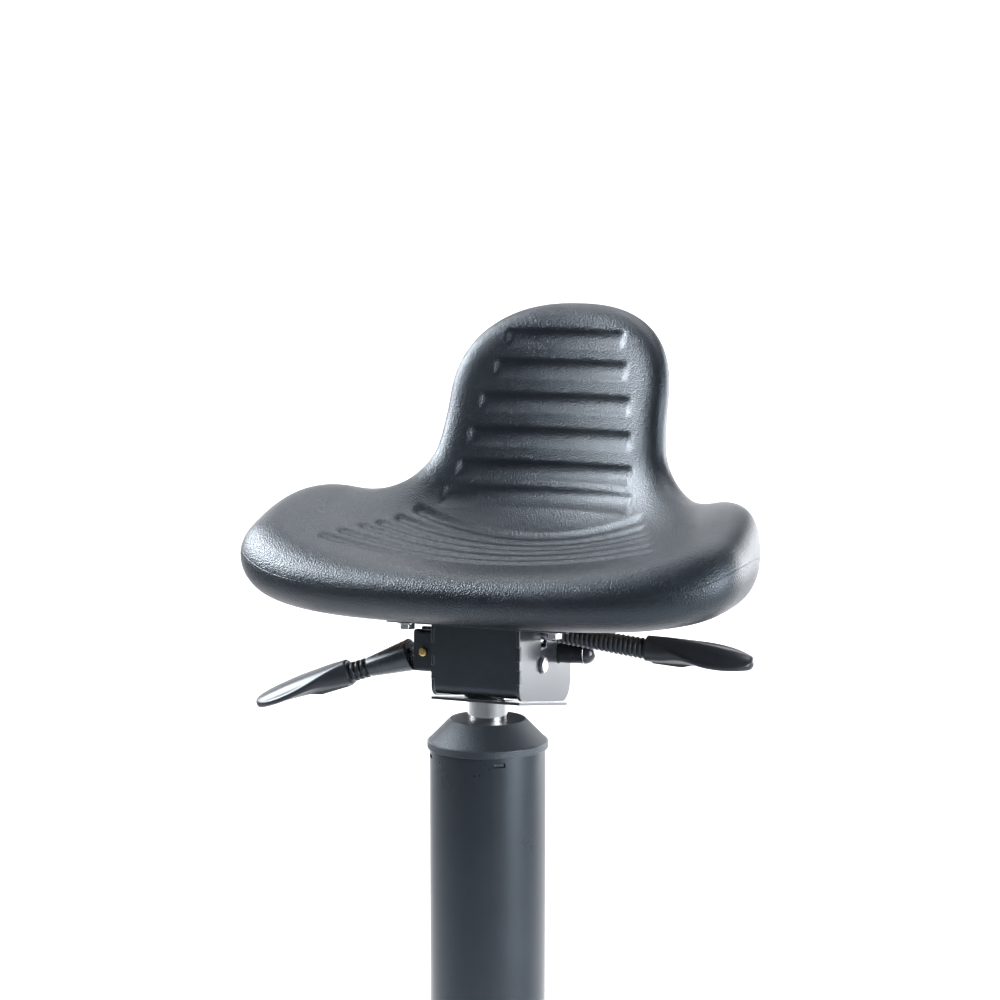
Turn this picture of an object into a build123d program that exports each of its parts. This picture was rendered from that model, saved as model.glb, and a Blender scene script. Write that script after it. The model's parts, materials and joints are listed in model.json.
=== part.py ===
from build123d import *
import math
import os

os.makedirs("parts", exist_ok=True)

# Driving dimensions in millimetres and degrees. The column stands on X = Y = 0, the floor is Z = 0,
# the sitter faces -Y, and every height of the tilt box and the seat is counted from cover_top.

# Column
cover_top = 400.0
lift_stroke = 200.0
cylinder_radius = 14.0
cylinder_bore = 12.5
taper_drop = 0.7
taper_start = 14.0
taper_length = 27.0
rod_radius = 5.0
stand_radius = 25.0
stand_wall = 2.0
stand_top = 330.0
stand_floor = 4.0
bush_length = 78.0
bush_flange = 3.0
rod_guide_length = 24.0
piston_height = 14.0
piston_play = 5.0
bearing_height = 5.0
bearing_radius = 11.0
buffer_height = 7.0
buffer_radius = 12.0
rest_gap = 0.3
running_fit = 0.05
press_fit = 0.02
pin_radius = 3.0
pin_length = 26.0
pin_stand = 5.0

# Telescopic cover
sleeve_radius = 40.0
sleeve_wall = 2.0
sleeve_gap = 0.4
sleeve_lift = 6.0
sleeve_stagger = 5.0
cap_top_radius = 26.25
cap_cone_height = 15.0
cap_cone_radius = 41.0
cap_rim_radius = 41.75
cap_rim_height = 5.0
cap_wall = 2.5
cap_skirt = 14.0
cap_play = 0.1
window_count = 4
window_angle = -57.0
window_width = 8.5
window_height = 3.0
window_drop = 3.5
hook_play = 0.3

# Star base
arm_count = 5
arm_length = 290.0
arm_root_width = 46.0
arm_root_height = 56.0
arm_tip_width = 30.0
arm_tip_height = 22.0
arm_edge_radius = 5.5
hub_radius = 40.0
hub_bottom = 28.0
hub_top = 108.0
hub_shoulder = 6.0
hub_hole = 20.0
arm_root_drop = 34.0
tip_pad_radius = 20.0
glide_height = 12.0
glide_radius = 22.0
glide_edge = 3.0
stem_radius = 5.5
stem_length = 16.0

# Tilt box, with heights above cover_top
box_width = 65.0
box_front_y = -23.0
box_rear_y = 78.0
plate_thickness = 2.5
front_bottom = 18.0
bottom_slope = 10.4
bottom_gap = 0.8
bottom_thickness = 2.0
front_bend = 8.0
rear_corner = 14.0
top_underside = 66.5
top_thickness = 3.0
top_half_width = 66.0
tab_height = 9.0
tab_low = 34.0
tab_high = 50.0
tab_play = 0.1
column_clearance = 4.0

# Tilt axle, carrier and stops
pivot_y = 54.5
pivot_height = 39.0
pivot_radius = 6.0
tilt_forward = 6.0
tilt_back = 4.0
bush_wall = 2.0
bush_flange_radius = 10.0
bush_flange_thickness = 1.5
cap_radius = 7.2
cap_length = 19.0
cap_offset = 0.5
carrier_half_width = 26.5
carrier_wall = 2.5
carrier_front_y = -16.0
carrier_rear_y = 66.0
carrier_bottom = 26.0
carrier_height = 22.0
socket_radius = 18.0
socket_foot_radius = 16.2
socket_bottom = 16.0
socket_top = 44.0
socket_mouth = 9.7
stud_y = 19.6
stud_height = 36.0
stud_radius = 4.0
stud_head_radius = 5.2
stud_head = 2.0
stud_reach = 11.0
stud_play = 0.8
washer_thickness = 0.8
washer_radius = 6.2

# Height lever
lever_x = -44.0
lever_height = 45.0
lever_droop = 18.9
lever_pin_radius = 3.2
lever_pin_half = 11.5
lever_press_gap = 0.3
arm_thickness = 4.0
arm_half_width = 3.7
arm_slot_play = 0.4
arm_overrun = 2.0
bracket_half_width = 10.0
bracket_bottom = 31.0
bracket_top = 60.0
bracket_outer = 51.0
neck_half_width = 7.0
neck_bottom = 41.0
neck_top = 54.0
window_play = 2.4
lever_rod_radius = 4.0
lever_rod_length = 63.0
boot_start = 13.0
boot_length = 34.0
boot_root_radius = 11.5
boot_tip_radius = 7.0
height_rib_count = 4
rib_pitch = 4.2
rib_depth = 1.1
paddle_length = 77.0
paddle_half_width = 13.0
paddle_belly = 0.45
paddle_flare = 0.4
paddle_root_half = 7.5
paddle_thickness = 6.0
paddle_boss = 4.0

# Tilt lever
cam_x = 17.0
cam_y = 23.5
cam_height = 57.5
cam_radius = 7.0
cam_half_width = 4.0
cam_pin_radius = 2.5
cam_ear = 2.5
cam_ear_play = 0.3
tilt_droop = 4.6
tilt_rod_radius = 3.5
tilt_rod_length = 91.0
tilt_neck_start = 22.0
tilt_neck_radius = 7.4
tilt_rib_count = 20
tilt_rib_pitch = 3.5
tilt_paddle_length = 74.0
notch_width = 10.5
notch_bottom = 47.0
brake_plate_x = 3.5
brake_plate_thickness = 3.0
brake_plate_half = 8.0
brake_plate_top = 58.5
pad_gap = 0.3
pad_half_width = 3.5
pad_half_height = 4.0

# Seat, with heights above cover_top
seat_half_width = 186.0
seat_front_y = -60.0
seat_rear_y = 140.0
seat_middle_y = 15.0
seat_bottom = 69.5
pan_height = 113.5
pan_slope = 6.0
pan_level_y = -20.0
pan_dish = 8.0
dish_gain = 0.055
dish_reach = 110.0
wing_start = 145.0
wing_drop_share = 0.84
end_rise_share = 0.59
end_rise_power = 6
plan_power = 3.2
front_crest_inset = 19.0
front_foot_inset = 13.0
nose_height = 24.0
back_top = 278.0
back_shoulder = 221.0
back_half_width = 84.0
back_foot_half = 104.0
back_foot = 105.0
back_lean = 25.4
back_reference_y = 107.8
back_reference_height = 158.7
back_thickness = 40.0
back_top_thickness = 24.0
back_side_round = 10.0
back_power = 2.3
back_crown_shares = (0.45, 0.75, 0.93, 0.99)
pan_groove_count = 6
pan_groove_front_y = -10.3
pan_groove_pitch = 16.6
pan_groove_front_half = 119.6
pan_groove_rear_half = 83.0
back_groove_count = 6
back_groove_low = 141.5
back_groove_pitch = 22.4
back_groove_low_half = 70.0
back_groove_high_half = 43.5
groove_radius = 9.0
groove_depth = 2.2

# Seat fixing
insert_half_width = 100.0
insert_front_y = -25.0
insert_rear_y = 88.0
insert_thickness = 8.0
bolt_x = 54.0
bolt_front_y = -14.0
bolt_rear_y = 66.0
bolt_radius = 2.95
bolt_hole = 3.3
bolt_head_flats = 10.0
bolt_head_height = 4.0
bolt_washer_radius = 7.0
bolt_washer_thickness = 1.2
insert_radius = 4.5
insert_bore = 3.0
strap_half_width = 20.0
strap_thickness = 4.0
strap_top = 225.0

# Places worked out from the driving dimensions
stand_inner = stand_radius - stand_wall
stand_bottom = hub_bottom + hub_shoulder
bearing_bottom = stand_bottom + stand_floor
buffer_bottom = bearing_bottom + bearing_height
cylinder_bottom = buffer_bottom + buffer_height + rest_gap
rod_guide_top = cylinder_bottom + rod_guide_length
piston_bottom = rod_guide_top + lift_stroke + piston_play
cylinder_roof = cover_top - taper_start
cylinder_top = cover_top + taper_start + taper_length
middle_radius = sleeve_radius - sleeve_wall - sleeve_gap
lower_radius = middle_radius - sleeve_wall - sleeve_gap
cap_seat = cover_top - cap_cone_height - cap_rim_height
side_inner = box_width / 2 - plate_thickness
side_outer = box_width / 2
pivot_z = cover_top + pivot_height
slope_rise = math.tan(math.radians(bottom_slope))
pan_thickness = pan_height - seat_bottom
wing_drop = pan_thickness * wing_drop_share
end_bottom_rise = pan_thickness * end_rise_share
arm_tip_bottom = glide_height


def save(piece, node):
    piece.part.label = node
    export_step(piece.part, f"parts/{node}.step")


def ring(inner, outer, low, high):
    """Upright ring about the column axis."""
    with BuildPart() as piece:
        with BuildSketch(Plane.XY.offset(low)):
            Circle(outer)
            Circle(inner, mode=Mode.SUBTRACT)
        extrude(amount=high - low)
    return piece


# Star base: hub with a shouldered bore, five tapering arms and a round pad at each tip
with BuildPart() as star_arm:
    root_middle = (hub_radius / 2, 0, hub_top - arm_root_drop)
    with BuildSketch(Plane(origin=root_middle, x_dir=(0, 1, 0), z_dir=(1, 0, 0))):
        RectangleRounded(arm_root_width, arm_root_height, arm_edge_radius)
    tip_middle = (arm_length, 0, arm_tip_bottom + arm_tip_height / 2)
    with BuildSketch(Plane(origin=tip_middle, x_dir=(0, 1, 0), z_dir=(1, 0, 0))):
        RectangleRounded(arm_tip_width, arm_tip_height, arm_edge_radius)
    loft(ruled=True)
    with BuildSketch(Plane.XY.offset(arm_tip_bottom)):
        with Locations((arm_length, 0)):
            Circle(tip_pad_radius)
    extrude(amount=arm_tip_height)

with BuildPart() as star_base:
    with BuildSketch(Plane.XY.offset(hub_bottom)):
        Circle(hub_radius)
    extrude(amount=hub_top - hub_bottom)
    with PolarLocations(0, arm_count, start_angle=-90):
        add(star_arm.part)
    with BuildSketch(Plane.XY.offset(stand_bottom)):
        Circle(stand_radius + press_fit)
    extrude(amount=hub_top - stand_bottom, mode=Mode.SUBTRACT)
    with BuildSketch(Plane.XY.offset(hub_bottom)):
        Circle(hub_hole)
    extrude(amount=hub_shoulder, mode=Mode.SUBTRACT)
    with BuildSketch(Plane.XY.offset(arm_tip_bottom)):
        with PolarLocations(arm_length, arm_count, start_angle=-90):
            Circle(stem_radius + press_fit)
    extrude(amount=stem_length, mode=Mode.SUBTRACT)
save(star_base, "star_base")

# Glides: a flat foot under each arm tip, its stem pressed up into the arm
with BuildPart() as floor_glides:
    with BuildSketch():
        with PolarLocations(arm_length, arm_count, start_angle=-90):
            Circle(glide_radius)
    extrude(amount=glide_height)
    fillet(floor_glides.edges().group_by(Axis.Z)[0], radius=glide_edge)
save(floor_glides, "floor_glides")

with BuildPart() as glide_stems:
    with BuildSketch(Plane.XY.offset(glide_height)):
        with PolarLocations(arm_length, arm_count, start_angle=-90):
            Circle(stem_radius)
    extrude(amount=stem_length - rest_gap)
save(glide_stems, "glide_stems")

# Gas spring, standing pieces: stand tube with a floor, bush, rod, bearing, buffer, clip and piston
with BuildPart() as stand_tube:
    with BuildSketch(Plane.XY.offset(stand_bottom)):
        Circle(stand_radius)
    extrude(amount=stand_top - stand_bottom)
    with BuildSketch(Plane.XY.offset(stand_bottom + stand_floor)):
        Circle(stand_inner)
    extrude(amount=stand_top - stand_bottom - stand_floor, mode=Mode.SUBTRACT)
    with BuildSketch(Plane.XY.offset(stand_bottom)):
        Circle(rod_radius + press_fit)
    extrude(amount=stand_floor, mode=Mode.SUBTRACT)
save(stand_tube, "stand_tube")

with BuildPart() as guide_bush:
    with BuildSketch(Plane.XY.offset(stand_top - bush_length)):
        Circle(stand_inner - press_fit)
    extrude(amount=bush_length)
    with BuildSketch(Plane.XY.offset(stand_top)):
        Circle(stand_radius)
    extrude(amount=bush_flange)
    with BuildSketch(Plane.XY.offset(stand_top - bush_length)):
        Circle(cylinder_radius + running_fit)
    extrude(amount=bush_length + bush_flange, mode=Mode.SUBTRACT)
save(guide_bush, "guide_bush")

with BuildPart() as piston_rod:
    with BuildSketch(Plane.XY.offset(hub_bottom)):
        Circle(rod_radius)
    extrude(amount=piston_bottom + piston_height - hub_bottom)
save(piston_rod, "piston_rod")

rod_seat = rod_radius + press_fit
piston_top = piston_bottom + piston_height
buffer_top = buffer_bottom + buffer_height
clip_bottom = hub_bottom + hub_shoulder / 2
save(ring(rod_seat, cylinder_bore - running_fit, piston_bottom, piston_top), "piston")
save(ring(rod_seat, bearing_radius, bearing_bottom, buffer_bottom), "thrust_bearing")
save(ring(rod_seat, buffer_radius, buffer_bottom, buffer_top), "rubber_buffer")
save(ring(rod_seat, bearing_radius, clip_bottom, stand_bottom), "retaining_clip")

# Telescopic cover: three sleeves, the lowest on the hub, and the cone cap snapped into the top one
lower_top = cap_seat - cap_skirt - 2 * sleeve_stagger
save(ring(lower_radius - sleeve_wall, lower_radius, hub_top, lower_top), "lower_sleeve")
middle_top = lower_top + sleeve_stagger
save(ring(middle_radius - sleeve_wall, middle_radius, hub_top + rest_gap, middle_top), "middle_sleeve")

window_top = cap_seat - window_drop
with BuildPart() as upper_sleeve:
    with BuildSketch(Plane.XY.offset(hub_top + sleeve_lift)):
        Circle(sleeve_radius)
        Circle(sleeve_radius - sleeve_wall, mode=Mode.SUBTRACT)
    extrude(amount=cap_seat - hub_top - sleeve_lift)
    with BuildSketch(Plane.XY.offset(window_top - window_height)):
        with PolarLocations(sleeve_radius, window_count, start_angle=window_angle):
            Rectangle(sleeve_radius / 2, window_width)
    extrude(amount=window_height, mode=Mode.SUBTRACT)
save(upper_sleeve, "upper_sleeve")

skirt_radius = sleeve_radius - sleeve_wall - hook_play
with BuildPart() as cone_cap:
    with BuildSketch(Plane.XZ):
        with BuildLine():
            Polyline(
                (cylinder_radius + cap_play, cover_top),
                (cap_top_radius, cover_top),
                (cap_cone_radius, cover_top - cap_cone_height),
                (cap_rim_radius, cover_top - cap_cone_height),
                (cap_rim_radius, cap_seat),
                (skirt_radius, cap_seat),
                (skirt_radius, cap_seat - cap_skirt),
                (skirt_radius - cap_wall, cap_seat - cap_skirt),
                (skirt_radius - cap_wall, cover_top - cap_cone_height),
                (cap_top_radius - cap_wall, cover_top - cap_wall),
                (cylinder_radius + cap_play, cover_top - cap_wall),
                close=True,
            )
        make_face()
    revolve(axis=Axis.Z)
    hook_reach = sleeve_wall / 2
    with BuildSketch(Plane.XY.offset(window_top - window_height + hook_play)):
        with PolarLocations(skirt_radius, window_count, start_angle=window_angle):
            Rectangle(2 * hook_reach, window_width - 2 * hook_play)
    extrude(amount=window_height - 2 * hook_play)
save(cone_cap, "cone_cap")

# Gas cylinder: chrome tube, closed above, with a slight taper at the head and a bore for the valve button
with BuildPart() as gas_cylinder:
    with BuildSketch(Plane.XZ):
        with BuildLine():
            Polyline(
                (cylinder_bore, cylinder_bottom),
                (cylinder_radius, cylinder_bottom),
                (cylinder_radius, cover_top + taper_start),
                (cylinder_radius - taper_drop, cylinder_top),
                (pin_radius + running_fit, cylinder_top),
                (pin_radius + running_fit, cylinder_roof + pin_radius),
                (0, cylinder_roof + pin_radius),
                (0, cylinder_roof),
                (cylinder_bore, cylinder_roof),
                close=True,
            )
        make_face()
    revolve(axis=Axis.Z)
save(gas_cylinder, "gas_cylinder")
save(ring(rod_radius + running_fit, cylinder_bore - press_fit, cylinder_bottom, rod_guide_top), "rod_guide")

pin_top = cylinder_top + pin_stand
with BuildPart() as release_pin:
    with BuildSketch(Plane.XY.offset(pin_top - pin_length)):
        Circle(pin_radius)
    extrude(amount=pin_length)
save(release_pin, "release_pin")

# Taper socket: cup on the cylinder's taper, waisted below so that the tilting box clears it
with BuildPart() as taper_socket:
    with BuildSketch(Plane.XZ):
        with BuildLine():
            taper_end = cover_top + socket_bottom
            drop_at_end = taper_drop * (socket_bottom - taper_start) / taper_length
            Polyline(
                (cylinder_radius - drop_at_end + press_fit, taper_end),
                (socket_foot_radius, taper_end),
                (socket_foot_radius, cover_top + carrier_bottom),
                (socket_radius, cover_top + carrier_bottom),
                (socket_radius, cover_top + socket_top),
                (socket_mouth, cover_top + socket_top),
                (socket_mouth, cylinder_top + press_fit),
                (cylinder_radius - taper_drop + press_fit, cylinder_top + press_fit),
                close=True,
            )
        make_face()
    revolve(axis=Axis.Z)
save(taper_socket, "taper_socket")

# Carrier: channel round the socket that holds the tilt axle, with a slot for each stop stud
carrier_z = cover_top + carrier_bottom
stud_arm_y = stud_y - pivot_y
stud_arm_z = stud_height - pivot_height
stud_low = stud_arm_y * math.sin(math.radians(tilt_forward)) + stud_arm_z
stud_high = -stud_arm_y * math.sin(math.radians(tilt_back)) + stud_arm_z
slot_low = pivot_z + stud_low - stud_radius - stud_play
slot_high = pivot_z + stud_high + stud_radius + stud_play
slot_half = stud_radius + stud_play + abs(stud_arm_y) * (1 - math.cos(math.radians(tilt_forward)))
arm_slot_half = arm_half_width + arm_slot_play
with BuildPart() as carrier:
    with BuildSketch(Plane.XY.offset(carrier_z)):
        with Locations((0, (carrier_front_y + carrier_rear_y) / 2)):
            Rectangle(2 * carrier_half_width, carrier_rear_y - carrier_front_y)
    extrude(amount=carrier_height)
    with BuildSketch(Plane.XY.offset(carrier_z + carrier_wall)):
        with Locations((0, (carrier_front_y + carrier_rear_y) / 2)):
            Rectangle(2 * (carrier_half_width - carrier_wall), carrier_rear_y - carrier_front_y)
    extrude(amount=carrier_height, mode=Mode.SUBTRACT)
    with BuildSketch(Plane.XY.offset(carrier_z)):
        Circle(socket_radius + press_fit)
    extrude(amount=carrier_height, mode=Mode.SUBTRACT)
    with BuildSketch(Plane.YZ.offset(-carrier_half_width)):
        with Locations((pivot_y, pivot_z)):
            Circle(pivot_radius + press_fit)
        with Locations((stud_y, (slot_low + slot_high) / 2)):
            Rectangle(2 * slot_half, slot_high - slot_low)
    extrude(amount=2 * carrier_half_width, mode=Mode.SUBTRACT)
    with BuildSketch(Plane.YZ.offset(-carrier_half_width)):
        with Locations((0, cover_top + neck_top)):
            Rectangle(2 * arm_slot_half, 2 * (neck_top - neck_bottom - carrier_wall))
    extrude(amount=carrier_half_width, mode=Mode.SUBTRACT)
save(carrier, "carrier")

# Tilt axle across the carrier and the box, with a domed cap on each end
cap_inner = side_outer + cap_offset
bar_half = cap_inner + cap_length - cap_radius
with BuildPart() as pivot_bar:
    with BuildSketch(Plane.YZ.offset(-bar_half)):
        with Locations((pivot_y, pivot_z)):
            Circle(pivot_radius)
    extrude(amount=2 * bar_half)
save(pivot_bar, "pivot_bar")

with BuildPart() as pivot_caps:
    with BuildSketch(Plane.YZ.offset(cap_inner)):
        with Locations((pivot_y, pivot_z)):
            Circle(cap_radius)
    extrude(amount=cap_length)
    with Locations((cap_inner + cap_length, pivot_y, pivot_z)):
        Sphere(cap_radius)
    with BuildSketch(Plane.YZ.offset(cap_inner)):
        with Locations((pivot_y, pivot_z)):
            Circle(pivot_radius + press_fit)
    extrude(amount=bar_half - cap_inner + press_fit, mode=Mode.SUBTRACT)
    mirror(about=Plane.YZ)
save(pivot_caps, "pivot_caps")

washer_start = carrier_half_width
washer_end = side_inner - bush_flange_thickness - rest_gap
with BuildPart() as pivot_washers:
    with BuildSketch(Plane.YZ.offset(washer_start)):
        with Locations((pivot_y, pivot_z)):
            Circle(bush_flange_radius)
            Circle(pivot_radius + press_fit, mode=Mode.SUBTRACT)
    extrude(amount=washer_end - washer_start)
    mirror(about=Plane.YZ)
save(pivot_washers, "pivot_washers")

# Brake plate: upright on the carrier's floor, gripped by the pad beside it
with BuildPart() as brake_plate:
    with BuildSketch(Plane.XY.offset(carrier_z + carrier_wall)):
        with Locations((brake_plate_x - brake_plate_thickness / 2, cam_y + brake_plate_half / 2)):
            Rectangle(brake_plate_thickness, brake_plate_half * 2)
    extrude(amount=cover_top + brake_plate_top - carrier_z - carrier_wall)
save(brake_plate, "brake_plate")

# Bracket of the height lever: a block outside the box whose hollow neck reaches in to the carrier
lever_z = cover_top + lever_height
neck_slot_low = cover_top + neck_bottom + carrier_wall
with BuildPart() as lever_bracket:
    with BuildSketch(Plane.YZ.offset(-bracket_outer)):
        with Locations((0, cover_top + (bracket_bottom + bracket_top) / 2)):
            RectangleRounded(2 * bracket_half_width, bracket_top - bracket_bottom, bracket_half_width / 4)
    extrude(amount=bracket_outer - side_outer - cap_offset)
    with BuildSketch(Plane.YZ.offset(-side_outer - cap_offset)):
        with Locations((0, cover_top + (neck_bottom + neck_top) / 2)):
            Rectangle(2 * neck_half_width, neck_top - neck_bottom)
    extrude(amount=side_outer + cap_offset - carrier_half_width)
    with BuildSketch(Plane.YZ.offset(-side_outer - cap_offset)):
        with Locations((0, (neck_slot_low + cover_top + neck_top) / 2)):
            Rectangle(2 * arm_slot_half, cover_top + neck_top - neck_slot_low)
    extrude(amount=side_outer + cap_offset - carrier_half_width, mode=Mode.SUBTRACT)
    with BuildSketch(Plane.YZ.offset(-bracket_outer)):
        with Locations((0, cover_top + (bracket_bottom + bracket_top) / 2)):
            Rectangle(2 * arm_slot_half, bracket_top - bracket_bottom)
    extrude(amount=bracket_outer - side_outer - cap_offset - plate_thickness, mode=Mode.SUBTRACT)
    with BuildSketch(Plane.YZ.offset(-side_outer - cap_offset)):
        with Locations((0, (neck_slot_low + cover_top + neck_top) / 2)):
            Rectangle(2 * arm_slot_half, cover_top + neck_top - neck_slot_low)
    extrude(amount=-plate_thickness, mode=Mode.SUBTRACT)
    with BuildSketch(Plane.XZ.offset(-bracket_half_width)):
        with Locations((lever_x, lever_z)):
            Circle(lever_pin_radius + press_fit)
    extrude(amount=2 * bracket_half_width, mode=Mode.SUBTRACT)
save(lever_bracket, "lever_bracket")

with BuildPart() as lever_pin:
    with BuildSketch(Plane.XZ.offset(-lever_pin_half)):
        with Locations((lever_x, lever_z)):
            Circle(lever_pin_radius)
    extrude(amount=2 * lever_pin_half)
save(lever_pin, "lever_pin")

# Height lever: flat inner arm over the release pin, a drooping rod, the cone boot and the paddle
droop = math.radians(lever_droop)
lever_axis = (-math.cos(droop), 0, -math.sin(droop))
lever_up = (-math.sin(droop), 0, math.cos(droop))
lever_origin = (lever_x, 0, lever_z)
lever_side = Plane(origin=lever_origin, x_dir=lever_axis, z_dir=(0, 1, 0))
lever_round = Plane(origin=lever_origin, x_dir=(0, 1, 0), z_dir=lever_axis)
arm_low = pin_top + lever_press_gap
arm_foot = lever_z - lever_pin_radius - arm_thickness / 2
with BuildPart() as height_lever_arm:
    with BuildSketch(Plane.XZ.offset(-arm_half_width)):
        with BuildLine():
            Polyline(
                (arm_overrun, arm_low),
                (arm_overrun, arm_low + arm_thickness),
                (lever_x - boot_start / 2, arm_low + arm_thickness),
                (lever_x - boot_start, lever_z),
                (lever_x - boot_start / 2, arm_foot),
                (lever_x + lever_pin_radius + arm_thickness / 2, arm_foot),
                (lever_x + lever_pin_radius + arm_thickness / 2, arm_low),
                close=True,
            )
        make_face()
    extrude(amount=2 * arm_half_width)
    with BuildSketch(lever_round.offset(lever_pin_radius + arm_thickness / 2)):
        Circle(min(lever_rod_radius, arm_half_width))
    extrude(amount=lever_rod_length - lever_pin_radius - arm_thickness / 2)
    with BuildSketch(Plane.XZ.offset(-arm_half_width)):
        with Locations((lever_x, lever_z)):
            Circle(lever_pin_radius + running_fit)
    extrude(amount=2 * arm_half_width, mode=Mode.SUBTRACT)
save(height_lever_arm, "height_lever_arm")

rod_hole = min(lever_rod_radius, arm_half_width) + press_fit
boot_end = boot_start + boot_length
with BuildPart() as height_lever_boot:
    with BuildSketch(lever_side):
        with BuildLine():
            Polyline(
                (boot_start, rod_hole),
                (boot_start, boot_root_radius),
                (boot_end, boot_tip_radius),
                (boot_end, rod_hole),
                close=True,
            )
        make_face()
    revolve(axis=Axis(lever_origin, lever_axis))
save(height_lever_boot, "height_lever_boot")


def ribbed_profile(start, count, pitch, radius, depth, bore):
    """Half section of a ribbed neck, along X with the radius along Y."""
    points = [(start, bore)]
    for index in range(count):
        rib = start + index * pitch
        points += [(rib, radius - depth), (rib + pitch / 4, radius), (rib + pitch * 3 / 4, radius)]
    points += [(start + count * pitch, radius - depth), (start + count * pitch, bore)]
    return points


def leaf_outline(start, length, root_half, half_width):
    """Plan of a paddle: a straight root, swelling sides and a round tip."""
    belly = start + length * paddle_belly
    Line((start, -root_half), (start, root_half))
    Spline((start, root_half), (belly, half_width), (start + length, 0),
           tangents=((1, paddle_flare), (0, -1)))
    Spline((start + length, 0), (belly, -half_width), (start, -root_half),
           tangents=((0, -1), (-1, paddle_flare)))


height_neck_end = boot_end + height_rib_count * rib_pitch
with BuildPart() as height_lever_handle:
    with BuildSketch(lever_side):
        with BuildLine():
            neck = ribbed_profile(boot_end, height_rib_count, rib_pitch, boot_tip_radius, rib_depth, 0)
            Polyline(*neck, close=True)
        make_face()
    revolve(axis=Axis(lever_origin, lever_axis))
    lever_flat = Plane(origin=lever_origin, x_dir=lever_axis, z_dir=lever_up)
    with BuildSketch(lever_flat):
        with BuildLine():
            leaf_outline(height_neck_end, paddle_length, paddle_root_half, paddle_half_width)
        make_face()
    extrude(amount=paddle_thickness / 2, both=True)
    with BuildSketch(lever_flat.offset(-paddle_thickness / 2)):
        with BuildLine():
            leaf_outline(height_neck_end, paddle_length / 2, paddle_root_half, paddle_half_width / 2)
        make_face()
    extrude(amount=-paddle_boss)
    with BuildSketch(lever_round.offset(boot_end)):
        Circle(rod_hole)
    extrude(amount=lever_rod_length - boot_end + press_fit, mode=Mode.SUBTRACT)
save(height_lever_handle, "height_lever_handle")

# Tilt box: front sheet bent under at the bottom, two side plates, a sloping bottom plate and the top plate
box_top = cover_top + top_underside
bend_y = box_front_y + front_bend
bend_z = cover_top + front_bottom + front_bend
bend_inner = front_bend - plate_thickness
corner = math.sqrt(0.5)
with BuildPart() as box_front:
    with BuildSketch(Plane.YZ.offset(-side_inner)):
        with BuildLine():
            Line((box_front_y, box_top), (box_front_y, bend_z))
            ThreePointArc(
                (box_front_y, bend_z),
                (bend_y - front_bend * corner, bend_z - front_bend * corner),
                (bend_y, bend_z - front_bend),
            )
            Line((bend_y, bend_z - front_bend), (bend_y, bend_z - bend_inner))
            ThreePointArc(
                (bend_y, bend_z - bend_inner),
                (bend_y - bend_inner * corner, bend_z - bend_inner * corner),
                (bend_y - bend_inner, bend_z),
            )
            Line((bend_y - bend_inner, bend_z), (bend_y - bend_inner, box_top))
            Line((bend_y - bend_inner, box_top), (box_front_y, box_top))
        make_face()
    extrude(amount=2 * side_inner)
    with BuildSketch(Plane.XZ.offset(-box_front_y)):
        with Locations((0, cover_top + tab_low), (0, cover_top + tab_high)):
            Rectangle(box_width, tab_height)
    extrude(amount=-plate_thickness)
    with BuildSketch(Plane.XY.offset(cover_top)):
        Circle(bend_inner - bend_y)
    extrude(amount=front_bottom + front_bend, mode=Mode.SUBTRACT)
save(box_front, "box_front")


def side_plate():
    """Right side plate: sloping foot, round corners, tab notches, holes for the bush and the stud."""
    foot_z = cover_top + front_bottom
    with BuildPart() as plate:
        with BuildSketch(Plane.YZ.offset(side_inner)):
            with BuildLine():
                Polyline(
                    (box_front_y, box_top),
                    (box_front_y, foot_z),
                    (box_rear_y, foot_z - (box_rear_y - box_front_y) * slope_rise),
                    (box_rear_y, box_top),
                    close=True,
                )
            make_face()
        extrude(amount=plate_thickness)
        upright = plate.edges().filter_by(Axis.X)
        fillet(upright.group_by(Axis.Y)[0].sort_by(Axis.Z)[0], radius=front_bend)
        upright = plate.edges().filter_by(Axis.X)
        fillet(upright.group_by(Axis.Y)[-1].sort_by(Axis.Z)[0], radius=rear_corner)
        with BuildSketch(Plane.YZ.offset(side_inner)):
            with Locations((box_front_y, cover_top + tab_low), (box_front_y, cover_top + tab_high)):
                Rectangle(2 * (plate_thickness + tab_play), tab_height + 2 * tab_play)
            with Locations((pivot_y, pivot_z)):
                Circle(pivot_radius + bush_wall + press_fit)
            with Locations((stud_y, cover_top + stud_height)):
                Circle(stud_radius + press_fit)
        extrude(amount=plate_thickness, mode=Mode.SUBTRACT)
    return plate


with BuildPart() as right_side_plate:
    add(side_plate().part)
    with BuildSketch(Plane.YZ.offset(side_inner)):
        with Locations((cam_y, (cover_top + notch_bottom + box_top) / 2)):
            Rectangle(notch_width, box_top - cover_top - notch_bottom)
    extrude(amount=plate_thickness, mode=Mode.SUBTRACT)
save(right_side_plate, "right_side_plate")

window_low = cover_top + neck_bottom - pivot_y * math.sin(math.radians(tilt_back)) - window_play
window_high = cover_top + neck_top + pivot_y * math.sin(math.radians(tilt_forward)) + window_play
with BuildPart() as left_side_plate:
    add(side_plate().part.mirror(Plane.YZ))
    with BuildSketch(Plane.YZ.offset(-side_outer)):
        with Locations((0, (window_low + window_high) / 2)):
            Rectangle(2 * (neck_half_width + window_play), window_high - window_low)
    extrude(amount=plate_thickness, mode=Mode.SUBTRACT)
save(left_side_plate, "left_side_plate")

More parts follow.
